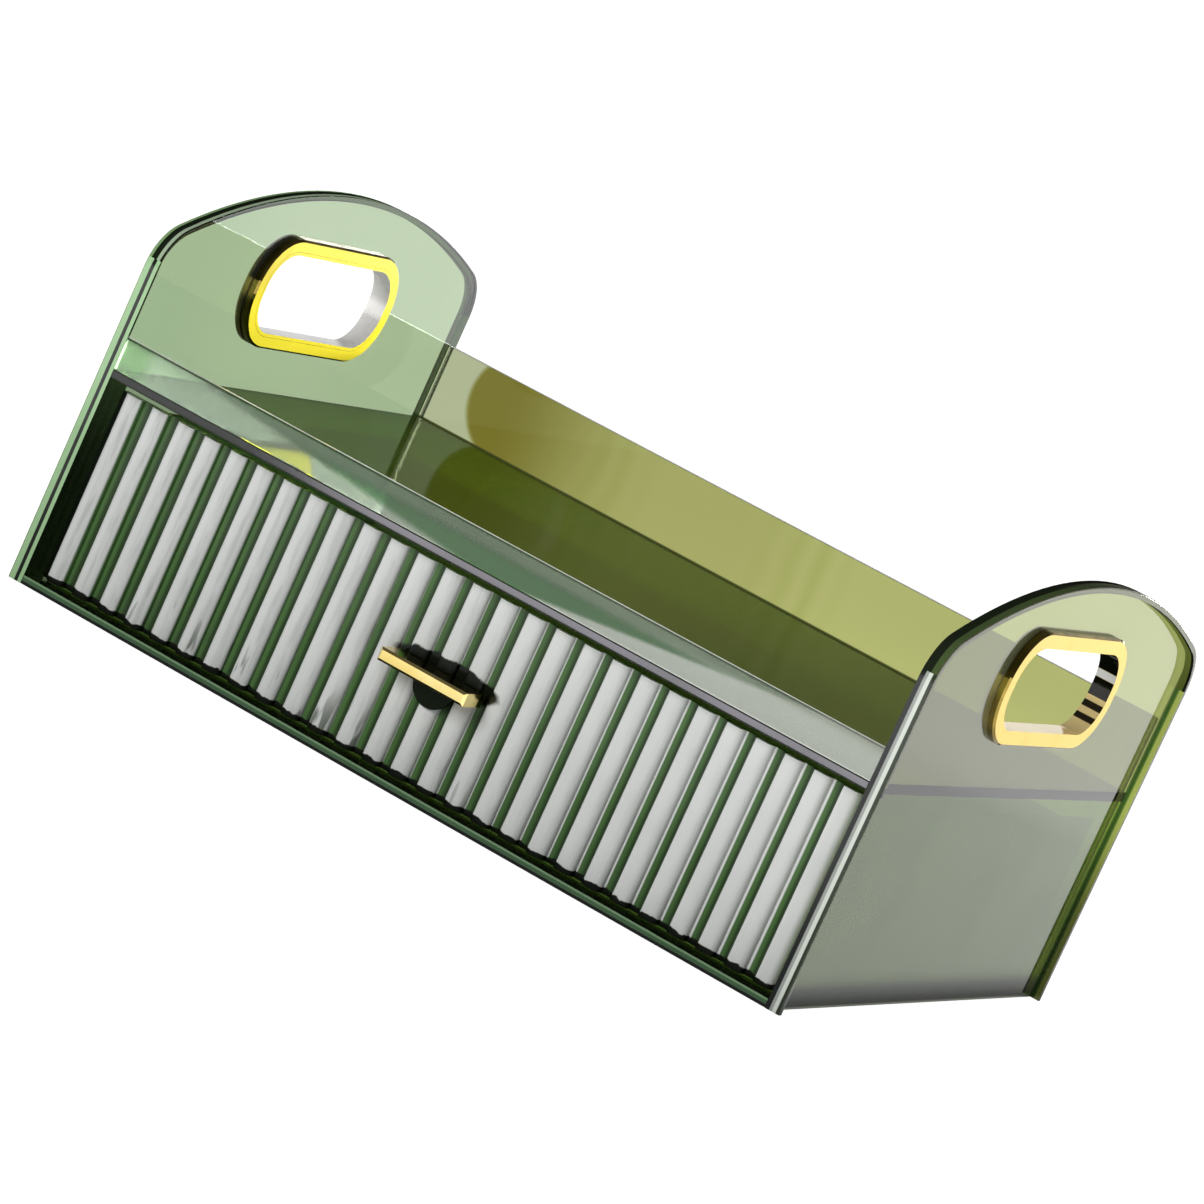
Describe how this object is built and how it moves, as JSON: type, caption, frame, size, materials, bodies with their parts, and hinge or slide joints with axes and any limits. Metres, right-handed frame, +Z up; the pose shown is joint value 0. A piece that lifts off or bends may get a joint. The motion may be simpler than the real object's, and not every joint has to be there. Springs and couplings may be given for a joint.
{
  "type": "cosmetic drawer organizer",
  "caption": "See-through green desk organizer with an open tray, arched sides with gold-lined hand holes, and a full-width drawer with a fluted front and a gold bar pull",
  "frame": {"origin": "middle of the underside, on the surface that the organizer stands on", "axes": "+X along the width to the right-hand side panel, +Y to the back panel, +Z up; the drawer opens towards -Y"},
  "size_m": [0.3, 0.2177, 0.146],
  "materials": {
    "side_plastic": "clear green tint, polished",
    "back_plastic": "clear green tint, polished",
    "base_plastic": "clear green tint, polished",
    "shelf_plastic": "clear green tint, polished",
    "lip_plastic": "clear green tint, polished",
    "drawer_plastic": "clear green tint, polished",
    "fluted_plastic": "frosted ribs on a green plate",
    "gold_plate": "gold electroplating on plastic",
    "dark_plastic": "dark green, polished"
  },
  "bodies": {
    "case": {"left_side_panel": "side_plastic", "right_side_panel": "side_plastic", "back_panel": "back_plastic", "base_panel": "base_plastic", "shelf_panel": "shelf_plastic", "front_lip": "lip_plastic", "left_ring_inner": "gold_plate", "left_ring_outer": "gold_plate", "right_ring_inner": "gold_plate", "right_ring_outer": "gold_plate"},
    "drawer": {"drawer_front": "fluted_plastic", "drawer_left_side": "drawer_plastic", "drawer_right_side": "drawer_plastic", "drawer_back": "drawer_plastic", "drawer_bottom": "drawer_plastic", "pull_bar": "gold_plate", "pull_plate": "dark_plastic"}
  },
  "joints": [
    {"name": "drawer_slide", "type": "slide", "parent": "case", "child": "drawer", "axis": [0, -1, 0], "range_m": [0, 0.14]}
  ]
}
